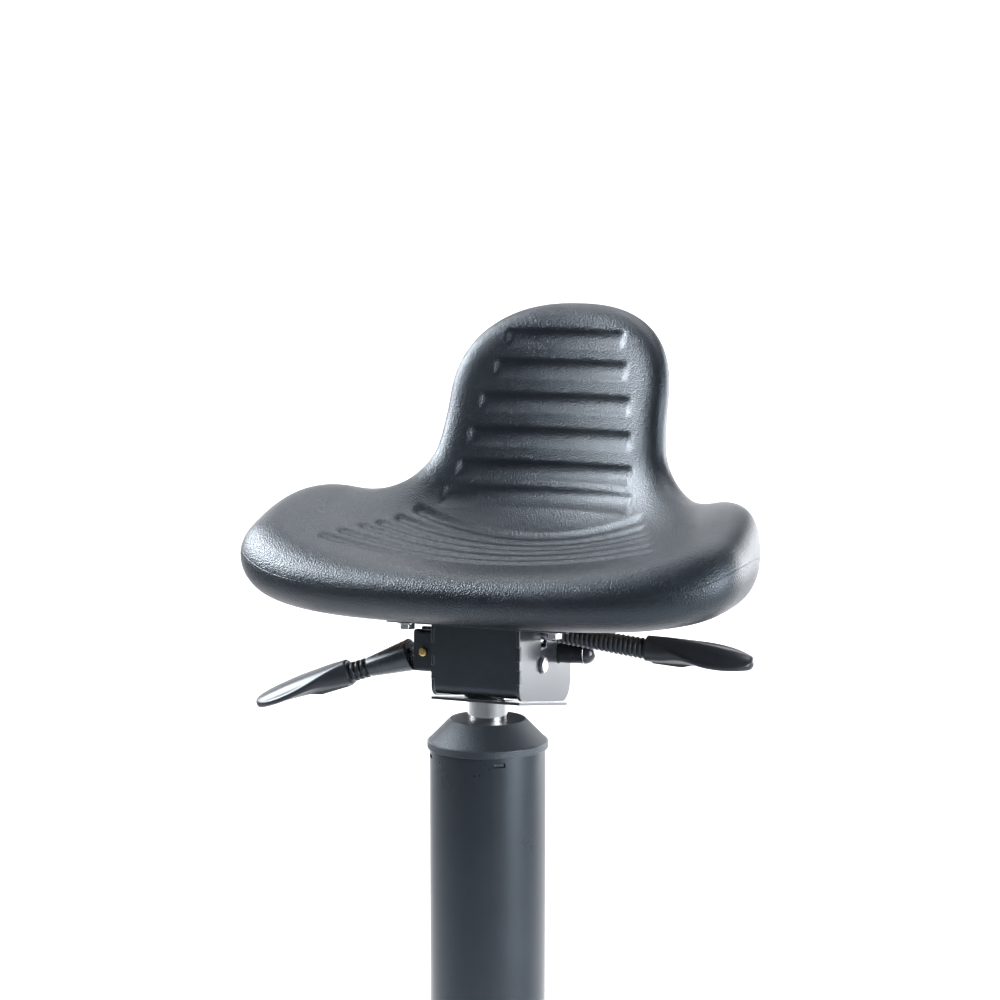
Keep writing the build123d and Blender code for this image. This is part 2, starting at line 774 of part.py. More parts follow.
slope = math.radians(bottom_slope)
bottom_frame = Plane(
    origin=(0, box_front_y, cover_top + front_bottom - bottom_gap),
    x_dir=(1, 0, 0),
    z_dir=(0, math.sin(slope), math.cos(slope)),
)
bottom_length = (box_rear_y - rear_corner / 2 - box_front_y) / math.cos(slope)
with BuildPart() as bottom_plate:
    with BuildSketch(bottom_frame):
        with Locations((0, bottom_length / 2)):
            Rectangle(box_width, bottom_length)
    extrude(amount=-bottom_thickness)
    with BuildSketch(Plane.XY.offset(cover_top)):
        Circle(cylinder_radius + column_clearance)
    extrude(amount=front_bottom + front_bend, both=True, mode=Mode.SUBTRACT)
save(bottom_plate, "bottom_plate")

bolt_places = [(x, y) for x in (-bolt_x, bolt_x) for y in (bolt_front_y, bolt_rear_y)]
with BuildPart() as top_plate:
    with BuildSketch(Plane.XY.offset(box_top)):
        with Locations((0, (box_front_y + box_rear_y) / 2)):
            Rectangle(2 * top_half_width, box_rear_y - box_front_y)
        with Locations(*bolt_places):
            Circle(bolt_hole, mode=Mode.SUBTRACT)
    extrude(amount=top_thickness)
save(top_plate, "top_plate")

with BuildPart() as pivot_bushes:
    with BuildSketch(Plane.YZ.offset(side_inner - bush_flange_thickness)):
        with Locations((pivot_y, pivot_z)):
            Circle(bush_flange_radius)
    extrude(amount=bush_flange_thickness)
    with BuildSketch(Plane.YZ.offset(side_inner)):
        with Locations((pivot_y, pivot_z)):
            Circle(pivot_radius + bush_wall)
    extrude(amount=plate_thickness)
    with BuildSketch(Plane.YZ.offset(side_inner - bush_flange_thickness)):
        with Locations((pivot_y, pivot_z)):
            Circle(pivot_radius + running_fit)
    extrude(amount=bush_flange_thickness + plate_thickness, mode=Mode.SUBTRACT)
    mirror(about=Plane.YZ)
save(pivot_bushes, "pivot_bushes")

# Stop studs: riveted through the side plates, their inner ends in the carrier's slots
stud_z = cover_top + stud_height
head_start = side_outer + washer_thickness
with BuildPart() as stop_studs:
    with BuildSketch(Plane.YZ.offset(side_inner - stud_reach)):
        with Locations((stud_y, stud_z)):
            Circle(stud_radius)
    extrude(amount=head_start - side_inner + stud_reach)
    with BuildSketch(Plane.YZ.offset(head_start)):
        with Locations((stud_y, stud_z)):
            Circle(stud_head_radius)
    extrude(amount=stud_head)
    mirror(about=Plane.YZ)
save(stop_studs, "stop_studs")

with BuildPart() as stud_washers:
    with BuildSketch(Plane.YZ.offset(side_outer)):
        with Locations((stud_y, stud_z)):
            Circle(washer_radius)
            Circle(stud_radius + press_fit, mode=Mode.SUBTRACT)
    extrude(amount=washer_thickness)
    mirror(about=Plane.YZ)
save(stud_washers, "stud_washers")

# Tilt brake: ears under the top plate, the cam's pin and the pad that the cam pushes on the brake plate
cam_z = cover_top + cam_height
ear_inner = cam_half_width + cam_ear_play
with BuildPart() as cam_bracket:
    with BuildSketch(Plane.XZ.offset(-cam_y - ear_inner - cam_ear)):
        with Locations((cam_x, (cam_z - cam_radius + box_top) / 2)):
            Rectangle(2 * cam_radius, box_top - cam_z + cam_radius)
        with Locations((cam_x, cam_z)):
            Circle(cam_pin_radius + press_fit, mode=Mode.SUBTRACT)
    extrude(amount=cam_ear)
    mirror(about=Plane.XZ.offset(-cam_y))
save(cam_bracket, "cam_bracket")

pin_half = ear_inner + cam_ear
with BuildPart() as cam_pin:
    with BuildSketch(Plane.XZ.offset(-cam_y - pin_half)):
        with Locations((cam_x, cam_z)):
            Circle(cam_pin_radius)
    extrude(amount=2 * pin_half)
save(cam_pin, "cam_pin")

pad_start = brake_plate_x + pad_gap
pad_end = cam_x - cam_radius - pad_gap
with BuildPart() as brake_pad:
    with BuildSketch(Plane.YZ.offset(pad_start)):
        with Locations((cam_y, cam_z)):
            Rectangle(2 * pad_half_width, 2 * pad_half_height)
    extrude(amount=pad_end - pad_start)
save(brake_pad, "brake_pad")

# Tilt lever: cam and rod in one, and the long ribbed handle with its paddle
tilt_angle = math.radians(tilt_droop)
tilt_axis = (math.cos(tilt_angle), 0, -math.sin(tilt_angle))
tilt_up = (math.sin(tilt_angle), 0, math.cos(tilt_angle))
tilt_origin = (cam_x, cam_y, cam_z)
tilt_side = Plane(origin=tilt_origin, x_dir=tilt_axis, z_dir=(0, -1, 0))
tilt_round = Plane(origin=tilt_origin, x_dir=(0, 1, 0), z_dir=tilt_axis)
tilt_flat = Plane(origin=tilt_origin, x_dir=tilt_axis, z_dir=tilt_up)
with BuildPart() as tilt_lever_arm:
    with BuildSketch(Plane.XZ.offset(-cam_y - cam_half_width)):
        with Locations((cam_x, cam_z)):
            Circle(cam_radius)
    extrude(amount=2 * cam_half_width)
    with BuildSketch(tilt_round.offset(cam_radius / 2)):
        Circle(tilt_rod_radius)
    extrude(amount=tilt_rod_length - cam_radius / 2)
    with BuildSketch(Plane.XZ.offset(-cam_y - cam_half_width)):
        with Locations((cam_x, cam_z)):
            Circle(cam_pin_radius + running_fit)
    extrude(amount=2 * cam_half_width, mode=Mode.SUBTRACT)
save(tilt_lever_arm, "tilt_lever_arm")

tilt_neck_end = tilt_neck_start + tilt_rib_count * tilt_rib_pitch
with BuildPart() as tilt_lever_handle:
    with BuildSketch(tilt_side):
        with BuildLine():
            neck = ribbed_profile(
                tilt_neck_start, tilt_rib_count, tilt_rib_pitch, tilt_neck_radius, rib_depth, 0
            )
            Polyline(*neck, close=True)
        make_face()
    revolve(axis=Axis(tilt_origin, tilt_axis))
    with BuildSketch(tilt_flat):
        with BuildLine():
            leaf_outline(tilt_neck_end, tilt_paddle_length, paddle_root_half, paddle_half_width)
        make_face()
    extrude(amount=paddle_thickness / 2, both=True)
    with BuildSketch(tilt_flat.offset(-paddle_thickness / 2)):
        with BuildLine():
            leaf_outline(tilt_neck_end, tilt_paddle_length / 2, paddle_root_half, paddle_half_width / 2)
        make_face()
    extrude(amount=-paddle_boss)
    with BuildSketch(tilt_round.offset(tilt_neck_start)):
        Circle(tilt_rod_radius + press_fit)
    extrude(amount=tilt_rod_length - tilt_neck_start + press_fit, mode=Mode.SUBTRACT)
save(tilt_lever_handle, "tilt_lever_handle")


# Seat: one moulding of a dished pan with raised wings and a low back, with cross grooves in both
def pan_top(x, y):
    """Height of the pan's upper face: it rises to the rear and to the wings and drops at the wing ends."""
    run = y - pan_level_y
    rise = (pan_dish + dish_gain * run) * (x / dish_reach) ** 2
    fall = max(0.0, abs(x) - wing_start) / (seat_half_width - wing_start)
    return cover_top + pan_height + math.tan(math.radians(pan_slope)) * run + rise - wing_drop * fall ** 2


def back_front(z):
    """Depth of the back's front face at a height above cover_top."""
    return back_reference_y + (z - back_reference_height) * math.tan(math.radians(back_lean))


wing_middle = (wing_start + seat_half_width) / 2
wing_end = seat_half_width - plate_thickness / 4
pan_stations = [dish_reach * step / 3 for step in (1, 2, 3)]
pan_stations += [(dish_reach + wing_start) / 2, wing_start]
pan_stations += [wing_middle, (wing_middle + wing_end) / 2, wing_end]
with BuildPart() as seat_shell:
    for x in [-s for s in reversed(pan_stations)] + [0] + pan_stations:
        share = (1 - (abs(x) / seat_half_width) ** plan_power) ** (1 / plan_power)
        front = seat_middle_y - (seat_middle_y - seat_front_y) * share
        rear = seat_middle_y + (seat_rear_y - seat_middle_y) * share
        crest_y = front + front_crest_inset * share
        rear_crest_y = rear - front_crest_inset * share
        foot_y = front + front_foot_inset * share
        rear_foot_y = rear - front_foot_inset * share
        foot_z = cover_top + seat_bottom + end_bottom_rise * (abs(x) / seat_half_width) ** end_rise_power
        crest_z = pan_top(x, crest_y)
        rear_crest_z = pan_top(x, rear_crest_y)
        nose_z = foot_z + nose_height * (crest_z - foot_z) / pan_thickness
        rear_nose_z = foot_z + nose_height * (rear_crest_z - foot_z) / pan_thickness
        with BuildSketch(Plane.YZ.offset(x)):
            with BuildLine():
                Line((rear_foot_y, foot_z), (foot_y, foot_z))
                ThreePointArc(
                    (foot_y, foot_z),
                    (foot_y + (front - foot_y) * corner, nose_z + (foot_z - nose_z) * corner),
                    (front, nose_z),
                )
                ThreePointArc(
                    (front, nose_z),
                    (crest_y + (front - crest_y) * corner, nose_z + (crest_z - nose_z) * corner),
                    (crest_y, crest_z),
                )
                Line((crest_y, crest_z), (rear_crest_y, rear_crest_z))
                ThreePointArc(
                    (rear_crest_y, rear_crest_z),
                    (
                        rear_crest_y + (rear - rear_crest_y) * corner,
                        rear_nose_z + (rear_crest_z - rear_nose_z) * corner,
                    ),
                    (rear, rear_nose_z),
                )
                ThreePointArc(
                    (rear, rear_nose_z),
                    (
                        rear_foot_y + (rear - rear_foot_y) * corner,
                        rear_nose_z + (foot_z - rear_nose_z) * corner,
                    ),
                    (rear_foot_y, foot_z),
                )
            make_face()
    loft()

back_rise = back_top - back_shoulder
back_stations = [back_foot, (back_foot + back_shoulder) / 2, back_shoulder]
back_stations += [back_shoulder + back_rise * share for share in back_crown_shares]
with BuildPart() as seat_back:
    for z in back_stations:
        height = (z - back_foot) / (back_top - back_foot)
        if z <= back_shoulder:
            climb = (back_shoulder - z) / (back_shoulder - back_foot)
            half = back_half_width + (back_foot_half - back_half_width) * climb ** 2
        else:
            climb = (z - back_shoulder) / back_rise
            half = back_half_width * (1 - climb ** back_power) ** (1 / back_power)
        front = back_front(z)
        rear = front + back_thickness + (back_top_thickness - back_thickness) * height
        edge = half - back_side_round
        with BuildSketch(Plane.XY.offset(cover_top + z)):
            with BuildLine():
                Line((-edge, front), (edge, front))
                ThreePointArc((edge, front), (half, (front + rear) / 2), (edge, rear))
                Line((edge, rear), (-edge, rear))
                ThreePointArc((-edge, rear), (-half, (front + rear) / 2), (-edge, front))
            make_face()
    loft()

groove_rise = groove_radius - groove_depth
with BuildPart() as pan_grooves:
    for index in range(pan_groove_count):
        part_way = index / (pan_groove_count - 1)
        half = pan_groove_front_half + (pan_groove_rear_half - pan_groove_front_half) * part_way
        y = pan_groove_front_y + index * pan_groove_pitch
        end_z = pan_top(half, y) + groove_rise
        middle_z = pan_top(0, y) + groove_rise
        with BuildLine():
            channel = ThreePointArc((-half, y, end_z), (0, y, middle_z), (half, y, end_z))
        with BuildSketch(Plane(origin=channel @ 0, z_dir=channel % 0)):
            Circle(groove_radius)
        sweep(path=channel)
        with Locations((-half, y, end_z), (half, y, end_z)):
            Sphere(groove_radius)

lean = math.radians(back_lean)
with BuildPart() as back_grooves:
    for index in range(back_groove_count):
        part_way = index / (back_groove_count - 1)
        half = back_groove_low_half + (back_groove_high_half - back_groove_low_half) * part_way
        z = back_groove_low + index * back_groove_pitch
        y = back_front(z) - groove_rise * math.cos(lean)
        middle_z = cover_top + z + groove_rise * math.sin(lean)
        with BuildSketch(Plane.YZ.offset(-half)):
            with Locations((y, middle_z)):
                Circle(groove_radius)
        extrude(amount=2 * half)
        with Locations((-half, y, middle_z), (half, y, middle_z)):
            Sphere(groove_radius)

# Insert plate, back strap and threaded inserts inside the moulding, and the bolts that hold the top plate
seat_z = cover_top + seat_bottom
insert_top = seat_z + insert_thickness
with BuildPart() as insert_plate:
    with BuildSketch(Plane.XY.offset(seat_z)):
        with Locations((0, (insert_front_y + insert_rear_y) / 2)):
            Rectangle(2 * insert_half_width, insert_rear_y - insert_front_y)
        with Locations(*bolt_places):
            Circle(insert_radius + press_fit, mode=Mode.SUBTRACT)
    extrude(amount=insert_thickness)
save(insert_plate, "insert_plate")

strap_depth = strap_thickness / math.cos(lean)
strap_offset = (back_thickness - strap_depth) / 2
strap_foot = insert_rear_y - strap_half_width
strap_low = insert_top - cover_top + strap_thickness
with BuildPart() as back_stiffener:
    with BuildSketch(Plane.YZ.offset(-strap_half_width)):
        with BuildLine():
            Polyline(
                (strap_foot, insert_top),
                (back_front(strap_low) + strap_offset + strap_depth, insert_top),
                (back_front(strap_low) + strap_offset + strap_depth, cover_top + strap_low),
                (back_front(strap_top) + strap_offset + strap_depth, cover_top + strap_top),
                (back_front(strap_top) + strap_offset, cover_top + strap_top),
                (back_front(strap_low) + strap_offset, cover_top + strap_low),
                (strap_foot, cover_top + strap_low),
                close=True,
            )
        make_face()
    extrude(amount=2 * strap_half_width)
save(back_stiffener, "back_stiffener")

with BuildPart() as seat_pad:
    add(seat_shell.part)
    add(seat_back.part)
    add(pan_grooves.part, mode=Mode.SUBTRACT)
    add(back_grooves.part, mode=Mode.SUBTRACT)
    with BuildSketch(Plane.XY.offset(seat_z)):
        with Locations((0, (insert_front_y + insert_rear_y) / 2)):
            Rectangle(2 * insert_half_width, insert_rear_y - insert_front_y)
    extrude(amount=insert_thickness, mode=Mode.SUBTRACT)
    add(back_stiffener.part, mode=Mode.SUBTRACT)
    with BuildSketch(Plane.XY.offset(seat_z)):
        Rectangle(2 * seat_half_width, 2 * seat_rear_y)
    extrude(amount=-nose_height, mode=Mode.SUBTRACT)
save(seat_pad, "seat_pad")

with BuildPart() as threaded_inserts:
    with BuildSketch(Plane.XY.offset(seat_z)):
        with Locations(*bolt_places):
            Circle(insert_radius)
            Circle(insert_bore, mode=Mode.SUBTRACT)
    extrude(amount=insert_thickness)
save(threaded_inserts, "threaded_inserts")

washer_z = box_top - bolt_washer_thickness
with BuildPart() as bolt_washers:
    with BuildSketch(Plane.XY.offset(washer_z)):
        with Locations(*bolt_places):
            Circle(bolt_washer_radius)
            Circle(bolt_hole, mode=Mode.SUBTRACT)
    extrude(amount=bolt_washer_thickness)
save(bolt_washers, "bolt_washers")

with BuildPart() as seat_bolts:
    with BuildSketch(Plane.XY.offset(washer_z - bolt_head_height)):
        with Locations(*bolt_places):
            RegularPolygon(bolt_head_flats / 2, 6, major_radius=False)
    extrude(amount=bolt_head_height)
    with BuildSketch(Plane.XY.offset(washer_z)):
        with Locations(*bolt_places):
            Circle(bolt_radius)
    extrude(amount=insert_top - washer_z - rest_gap)
save(seat_bolts, "seat_bolts")
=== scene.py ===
import json
import math

import bmesh
import bpy
import numpy as np
from mathutils import Matrix, Vector

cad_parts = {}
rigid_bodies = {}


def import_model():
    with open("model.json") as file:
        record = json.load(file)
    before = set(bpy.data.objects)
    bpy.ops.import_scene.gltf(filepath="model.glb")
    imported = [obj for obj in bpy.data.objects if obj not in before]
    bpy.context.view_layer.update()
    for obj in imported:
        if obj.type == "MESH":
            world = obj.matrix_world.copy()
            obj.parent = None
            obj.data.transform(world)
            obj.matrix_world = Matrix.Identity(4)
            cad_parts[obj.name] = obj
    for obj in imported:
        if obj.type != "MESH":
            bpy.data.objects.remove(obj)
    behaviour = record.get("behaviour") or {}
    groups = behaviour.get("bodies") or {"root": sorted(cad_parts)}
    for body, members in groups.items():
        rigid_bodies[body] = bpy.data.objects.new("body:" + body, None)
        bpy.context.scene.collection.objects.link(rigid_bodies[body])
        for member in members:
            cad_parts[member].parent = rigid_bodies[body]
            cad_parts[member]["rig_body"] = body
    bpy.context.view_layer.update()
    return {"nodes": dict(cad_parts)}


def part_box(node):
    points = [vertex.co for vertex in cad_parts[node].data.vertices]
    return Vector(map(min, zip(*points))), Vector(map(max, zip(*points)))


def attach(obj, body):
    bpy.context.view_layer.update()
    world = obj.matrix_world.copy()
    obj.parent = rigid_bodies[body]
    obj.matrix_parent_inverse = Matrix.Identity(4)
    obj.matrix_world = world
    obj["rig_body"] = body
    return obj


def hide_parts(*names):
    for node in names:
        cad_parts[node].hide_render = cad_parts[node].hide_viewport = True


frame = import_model()
nodes = frame["nodes"]

# Star base: five-armed foot of glass-filled nylon, injection moulded, with a fine spark texture.
# The stand tube is pressed into its hub, and each arm tip carries a plastic glide on a steel stem.
def new_group(name, inputs, outputs):
    group = bpy.data.node_groups.new(name, "ShaderNodeTree")
    for socket, kind, value in inputs:
        made = group.interface.new_socket(socket, in_out="INPUT", socket_type=kind)
        if value is not None:
            made.default_value = value
    for socket, kind in outputs:
        group.interface.new_socket(socket, in_out="OUTPUT", socket_type=kind)
    return group, group.nodes.new("NodeGroupInput"), group.nodes.new("NodeGroupOutput")


def build_grain_group():
    group, given, result = new_group(
        "moulded_grain",
        [
            ("Vector", "NodeSocketVector", None),
            ("Cells", "NodeSocketFloat", 900.0),
            ("Depth", "NodeSocketFloat", 0.0001),
            ("Sharpness", "NodeSocketFloat", 0.5),
        ],
        [("Mottle", "NodeSocketFloat"), ("Normal", "NodeSocketVector")],
    )
    make, wire = group.nodes.new, group.links.new
    cells = make("ShaderNodeTexVoronoi")
    cells.feature = "SMOOTH_F1"
    cells.inputs["Smoothness"].default_value = 0.35
    wire(given.outputs["Vector"], cells.inputs["Vector"])
    wire(given.outputs["Cells"], cells.inputs["Scale"])
    wobble = make("ShaderNodeTexNoise")
    wobble.inputs["Detail"].default_value = 3.0
    wobble_scale = make("ShaderNodeMath")
    wobble_scale.operation = "MULTIPLY"
    wobble_scale.inputs[1].default_value = 1.7
    wire(given.outputs["Cells"], wobble_scale.inputs[0])
    wire(wobble_scale.outputs[0], wobble.inputs["Scale"])
    wire(given.outputs["Vector"], wobble.inputs["Vector"])
    height = make("ShaderNodeMath")
    height.operation = "ADD"
    wire(cells.outputs["Distance"], height.inputs[0])
    wire(wobble.outputs["Fac"], height.inputs[1])
    bump = make("ShaderNodeBump")
    wire(given.outputs["Sharpness"], bump.inputs["Strength"])
    wire(given.outputs["Depth"], bump.inputs["Distance"])
    wire(height.outputs[0], bump.inputs["Height"])
    mottle = make("ShaderNodeTexNoise")
    mottle.inputs["Scale"].default_value = 23.0
    mottle.inputs["Detail"].default_value = 5.0
    mottle.inputs["Roughness"].default_value = 0.62
    wire(given.outputs["Vector"], mottle.inputs["Vector"])
    wire(mottle.outputs["Fac"], result.inputs["Mottle"])
    wire(bump.outputs["Normal"], result.inputs["Normal"])
    return group


grain_group = build_grain_group()


def finish_material(name, dark, light, gloss, cells, depth, metal=0.0, sharpness=0.5, specular=0.5):
    """Moulded, painted or plated finish: two close colours, a gloss range and a grain."""
    mix_dark, mix_light, mix_result = 6, 7, 2
    cool_sheen = (0.72, 0.86, 1.0, 1)
    material = bpy.data.materials.new(name)
    material.use_nodes = True
    tree = material.node_tree
    shader = tree.nodes["Principled BSDF"]
    place = tree.nodes.new("ShaderNodeTexCoord")
    grain = tree.nodes.new("ShaderNodeGroup")
    grain.node_tree = grain_group
    grain.inputs["Cells"].default_value = cells
    grain.inputs["Depth"].default_value = depth
    grain.inputs["Sharpness"].default_value = sharpness
    tree.links.new(place.outputs["Object"], grain.inputs["Vector"])
    tint = tree.nodes.new("ShaderNodeMix")
    tint.data_type = "RGBA"
    tint.inputs[mix_dark].default_value = (*dark, 1)
    tint.inputs[mix_light].default_value = (*light, 1)
    tree.links.new(grain.outputs["Mottle"], tint.inputs[0])
    tree.links.new(tint.outputs[mix_result], shader.inputs["Base Color"])
    sheen = tree.nodes.new("ShaderNodeMapRange")
    sheen.inputs["From Min"].default_value = 0.25
    sheen.inputs["From Max"].default_value = 0.75
    sheen.inputs["To Min"].default_value = gloss[0]
    sheen.inputs["To Max"].default_value = gloss[1]
    tree.links.new(grain.outputs["Mottle"], sheen.inputs["Value"])
    tree.links.new(sheen.outputs["Result"], shader.inputs["Roughness"])
    tree.links.new(grain.outputs["Normal"], shader.inputs["Normal"])
    shader.inputs["Metallic"].default_value = metal
    shader.inputs["Specular IOR Level"].default_value = specular
    if not metal:
        shader.inputs["Specular Tint"].default_value = cool_sheen
    return material


def dress(node, material):
    for place in nodes[node].material_slots:
        place.material = material


def soften(node, name, width, material, edge):
    """A copy of a CAD piece with small rounded edges, shown in its stead."""
    weld, flat_within, round_above = 1e-6, math.radians(0.6), math.radians(34)
    mesh = nodes[node].data.copy()
    mesh.name = name
    form = bmesh.new()
    form.from_mesh(mesh)
    bmesh.ops.remove_doubles(form, verts=form.verts, dist=weld)
    bmesh.ops.dissolve_limit(form, angle_limit=flat_within, verts=form.verts, edges=form.edges)
    form.to_mesh(mesh)
    form.free()
    mesh.materials.clear()
    mesh.materials.append(material)
    mesh.materials.append(edge or material)
    piece = bpy.data.objects.new(name, mesh)
    bpy.context.scene.collection.objects.link(piece)
    round_off = piece.modifiers.new("rounded_edges", "BEVEL")
    round_off.width = width
    round_off.segments = 3
    round_off.limit_method = "ANGLE"
    round_off.angle_limit = round_above
    # The rounded edges take the second material; where that is a lighter copy of the face material, it is a
    # painted edge highlight.
    round_off.material = 1
    mesh.shade_smooth()
    even = piece.modifiers.new("even_shading", "WEIGHTED_NORMAL")
    even.keep_sharp = True
    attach(piece, nodes[node]["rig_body"])
    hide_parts(node)


nylon = finish_material(
    "black_nylon", (0.012, 0.013, 0.015), (0.022, 0.023, 0.026), (0.42, 0.60), 1400, 0.00012
)
# Lighter, glossier nylon for the base's rounded edges: a painted edge highlight.
nylon_edge_highlight = finish_material(
    "nylon_edge_highlight", (0.020, 0.021, 0.024), (0.034, 0.035, 0.038), (0.30, 0.42), 900, 0.00003
)
soften("star_base", "base_moulding", 0.0022, nylon, nylon_edge_highlight)
glide_plastic = finish_material(
    "glide_plastic", (0.030, 0.031, 0.033), (0.050, 0.051, 0.054), (0.50, 0.72), 500, 0.00008
)
soften("floor_glides", "glide_feet", 0.0012, glide_plastic, glide_plastic)
zinc = finish_material(
    "zinc_steel", (0.52, 0.53, 0.55), (0.72, 0.73, 0.75), (0.20, 0.36), 700, 0.00003, metal=1.0
)
dress("glide_stems", zinc)

# Stand tube and gas spring: a drawn steel tube painted black, a ground rod with an alloy piston,
# and a chromed cylinder that slides in a white guide bush and comes down on a rubber buffer.
black_steel = finish_material(
    "black_steel", (0.010, 0.011, 0.012), (0.020, 0.021, 0.023), (0.34, 0.50), 1100, 0.00006
)
white_bush = finish_material(
    "white_bush", (0.72, 0.71, 0.67), (0.82, 0.81, 0.78), (0.38, 0.55), 600, 0.00003
)
ground_rod = finish_material(
    "ground_rod", (0.45, 0.46, 0.48), (0.56, 0.57, 0.60), (0.12, 0.22), 1600, 0.00001, metal=1.0
)
piston_alloy = finish_material(
    "piston_alloy", (0.60, 0.60, 0.60), (0.75, 0.75, 0.74), (0.28, 0.42), 700, 0.00003, metal=1.0
)
black_rubber = finish_material(
    "black_rubber", (0.012, 0.012, 0.012), (0.024, 0.024, 0.024), (0.62, 0.8), 800, 0.00010
)
dress("stand_tube", black_steel)
dress("guide_bush", white_bush)
dress("piston_rod", ground_rod)
dress("piston", piston_alloy)
dress("thrust_bearing", zinc)
dress("rubber_buffer", black_rubber)
dress("retaining_clip", zinc)
dress("rod_guide", black_rubber)
dress("release_pin", zinc)
chrome = finish_material(
    "chrome", (0.80, 0.81, 0.83), (0.88, 0.89, 0.90), (0.045, 0.085), 1800, 0.000004, metal=1.0
)
dress("gas_cylinder", chrome)

# Telescopic cover: three smooth extruded plastic sleeves that slide over one another, satin black.
# The lowest stands on the hub, and the top one hangs from the cone cap by hooks in its four small windows.
cover_plastic = finish_material(
    "cover_plastic", (0.008, 0.010, 0.013), (0.014, 0.017, 0.022), (0.26, 0.32), 420, 0.00001, sharpness=0.0
)
dress("lower_sleeve", cover_plastic)
dress("middle_sleeve", cover_plastic)
soften("upper_sleeve", "cover_tube", 0.0005, cover_plastic, None)

# Cone cap: moulded lid of the cover, spark-eroded matt texture on the cone, with a smooth rolled rim.
# It is snapped into the top sleeve and has a clear flat ring round the chrome tube.
cap_plastic = finish_material(
    "cap_plastic", (0.007, 0.009, 0.012), (0.013, 0.016, 0.020), (0.40, 0.54), 1300, 0.00022, sharpness=0.75
)
# The cap's rounded edges and rim take a lighter, glossier grey: a painted edge highlight.
cap_edge_highlight = finish_material(
    "cap_edge_highlight", (0.020, 0.023, 0.028), (0.032, 0.036, 0.043), (0.26, 0.36), 900, 0.00002
)
soften("cone_cap", "cover_cap", 0.0011, cap_plastic, cap_edge_highlight)

# Swivel head: a black steel socket on the cylinder's taper, welded to the folded carrier in the tilt box.
# The tilt axle crosses both on rubber washers and bushes. Each end has a domed plastic cap pushed on,
# with a thin bright zinc ring laid at the foot of the dome, a painted highlight along the seam.
dress("taper_socket", black_steel)
dress("carrier", black_steel)
dress("pivot_bar", zinc)
dress("pivot_washers", black_rubber)
dress("pivot_bushes", black_rubber)
dress("brake_plate", zinc)
knob_plastic = finish_material(
    "knob_plastic", (0.010, 0.011, 0.013), (0.018, 0.019, 0.022), (0.16, 0.24), 1100, 0.00001, sharpness=0.3
)
soften("pivot_caps", "axle_caps", 0.0006, knob_plastic, None)
cap_low, cap_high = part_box("pivot_caps")
cap_middle = (cap_low + cap_high) / 2
cap_radius = (cap_high.z - cap_low.z) / 2
# A thin zinc wire round each cap's seam: a painted highlight where the light catches the dome's edge.
wire_radius, ring_steps, wire_steps = 0.00022, 48, 8
ring_mesh = bmesh.new()
for side in (-1, 1):
    loops = []
    for step in range(ring_steps):
        turn = 2 * math.pi * step / ring_steps
        loop = []
        for wind in range(wire_steps):
            curl = 2 * math.pi * wind / wire_steps
            reach = cap_radius + wire_radius * math.cos(curl)
            x = side * (cap_high.x - cap_radius) + wire_radius * math.sin(curl)
            y = cap_middle.y + reach * math.cos(turn)
            z = cap_middle.z + reach * math.sin(turn)
            loop.append(ring_mesh.verts.new((x, y, z)))
        loops.append(loop)
    for i, near in enumerate(loops):
        far = loops[(i + 1) % ring_steps]
        for j in range(wire_steps):
            k = (j + 1) % wire_steps
            ring_mesh.faces.new((near[j], near[k], far[k], far[j]))
bmesh.ops.recalc_face_normals(ring_mesh, faces=ring_mesh.faces)
ring_data = bpy.data.meshes.new("seam_highlight_ring")
ring_mesh.to_mesh(ring_data)
ring_mesh.free()
ring_data.shade_smooth()
seam_highlight_ring = bpy.data.objects.new("seam_highlight_ring", ring_data)
bpy.context.scene.collection.objects.link(seam_highlight_ring)
ring_data.materials.append(zinc)
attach(seam_highlight_ring, "swivel")

# Tilt box: sheet steel cut and folded, the front sheet hooked by finger tabs into the two side plates.
# Powder coated black with a fine leather texture; the rounded outer edges are painted a lighter, glossier
# grey as an edge highlight.
box_paint = finish_material(
    "box_paint", (0.006, 0.008, 0.010), (0.011, 0.014, 0.018), (0.36, 0.48), 1500, 0.00016, sharpness=0.6
)
# Lighter grey for the rounded edges of the box plates: a painted edge highlight.
box_edge_highlight = finish_material(
    "box_edge_highlight", (0.045, 0.050, 0.058), (0.11, 0.12, 0.13), (0.24, 0.36), 1200, 0.00004
)
plate_paint = finish_material(
    "plate_paint", (0.014, 0.016, 0.020), (0.026, 0.029, 0.035), (0.20, 0.28), 1300, 0.00003, sharpness=0.4
)
soften("box_front", "box_front_sheet", 0.0005, box_paint, box_edge_highlight)
soften("left_side_plate", "box_left_plate", 0.0005, plate_paint, box_edge_highlight)
soften("right_side_plate", "box_right_plate", 0.0005, plate_paint, box_edge_highlight)
soften("bottom_plate", "box_bottom_plate", 0.0004, plate_paint, box_edge_highlight)
soften("top_plate", "box_top_plate", 0.0005, box_paint, box_edge_highlight)
dress("cam_bracket", box_paint)
dress("cam_pin", zinc)
dress("brake_pad", black_rubber)

# Stop studs: turned steel studs, zinc plated, riveted through the side plates over a thin black washer.
# Their inner ends run in the slots of the carrier and end the seat's tilt.
soften("stop_studs", "stop_stud_heads", 0.0005, zinc, None)
soften("stud_washers", "stop_stud_washers", 0.0002, black_steel, None)

# Lever bracket: moulded black block on the carrier's left wall, with a brass pin across its fork.
# The pin is a plain turned length with a slightly domed end, left bright.
# The block's rounded edges carry the same painted edge highlight as the cap.
soften("lever_bracket", "lever_block", 0.0009, cap_plastic, cap_edge_highlight)
brass = finish_material(
    "brass_pin", (0.62, 0.42, 0.16), (0.78, 0.56, 0.25), (0.22, 0.36), 900, 0.00003, metal=1.0
)
soften("lever_pin", "lever_hinge_pin", 0.0012, brass, None)

